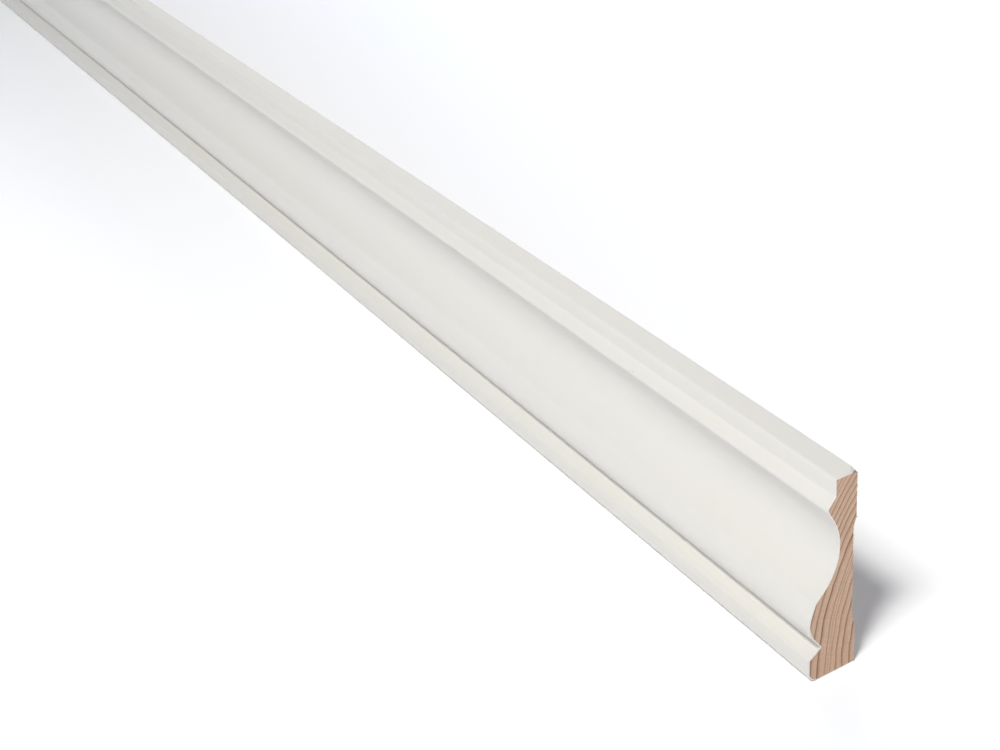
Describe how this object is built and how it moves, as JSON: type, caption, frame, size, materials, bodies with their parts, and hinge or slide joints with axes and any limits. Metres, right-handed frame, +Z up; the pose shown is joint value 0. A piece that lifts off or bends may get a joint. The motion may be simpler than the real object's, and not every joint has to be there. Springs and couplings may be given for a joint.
{
  "type": "door casing moulding",
  "caption": "Straight length of painted pine door casing with an ogee face, a quirked band along the thick edge and a shallow relief in the back.",
  "frame": {"origin": "on the underside of the thick edge, at the centre of the footprint, midway along the length", "axes": "+X along the length towards the cut end with the knocked corner, +Y through the thickness towards the wall, +Z up the width towards the thin edge"},
  "size_m": [1, 0.0142, 0.0572],
  "materials": {
    "painted_pine": "satin off-white paint on the front and both edges, bare pine on the sawn ends and the planed back"
  },
  "bodies": {
    "root": {"casing": "painted_pine"}
  },
  "joints": []
}
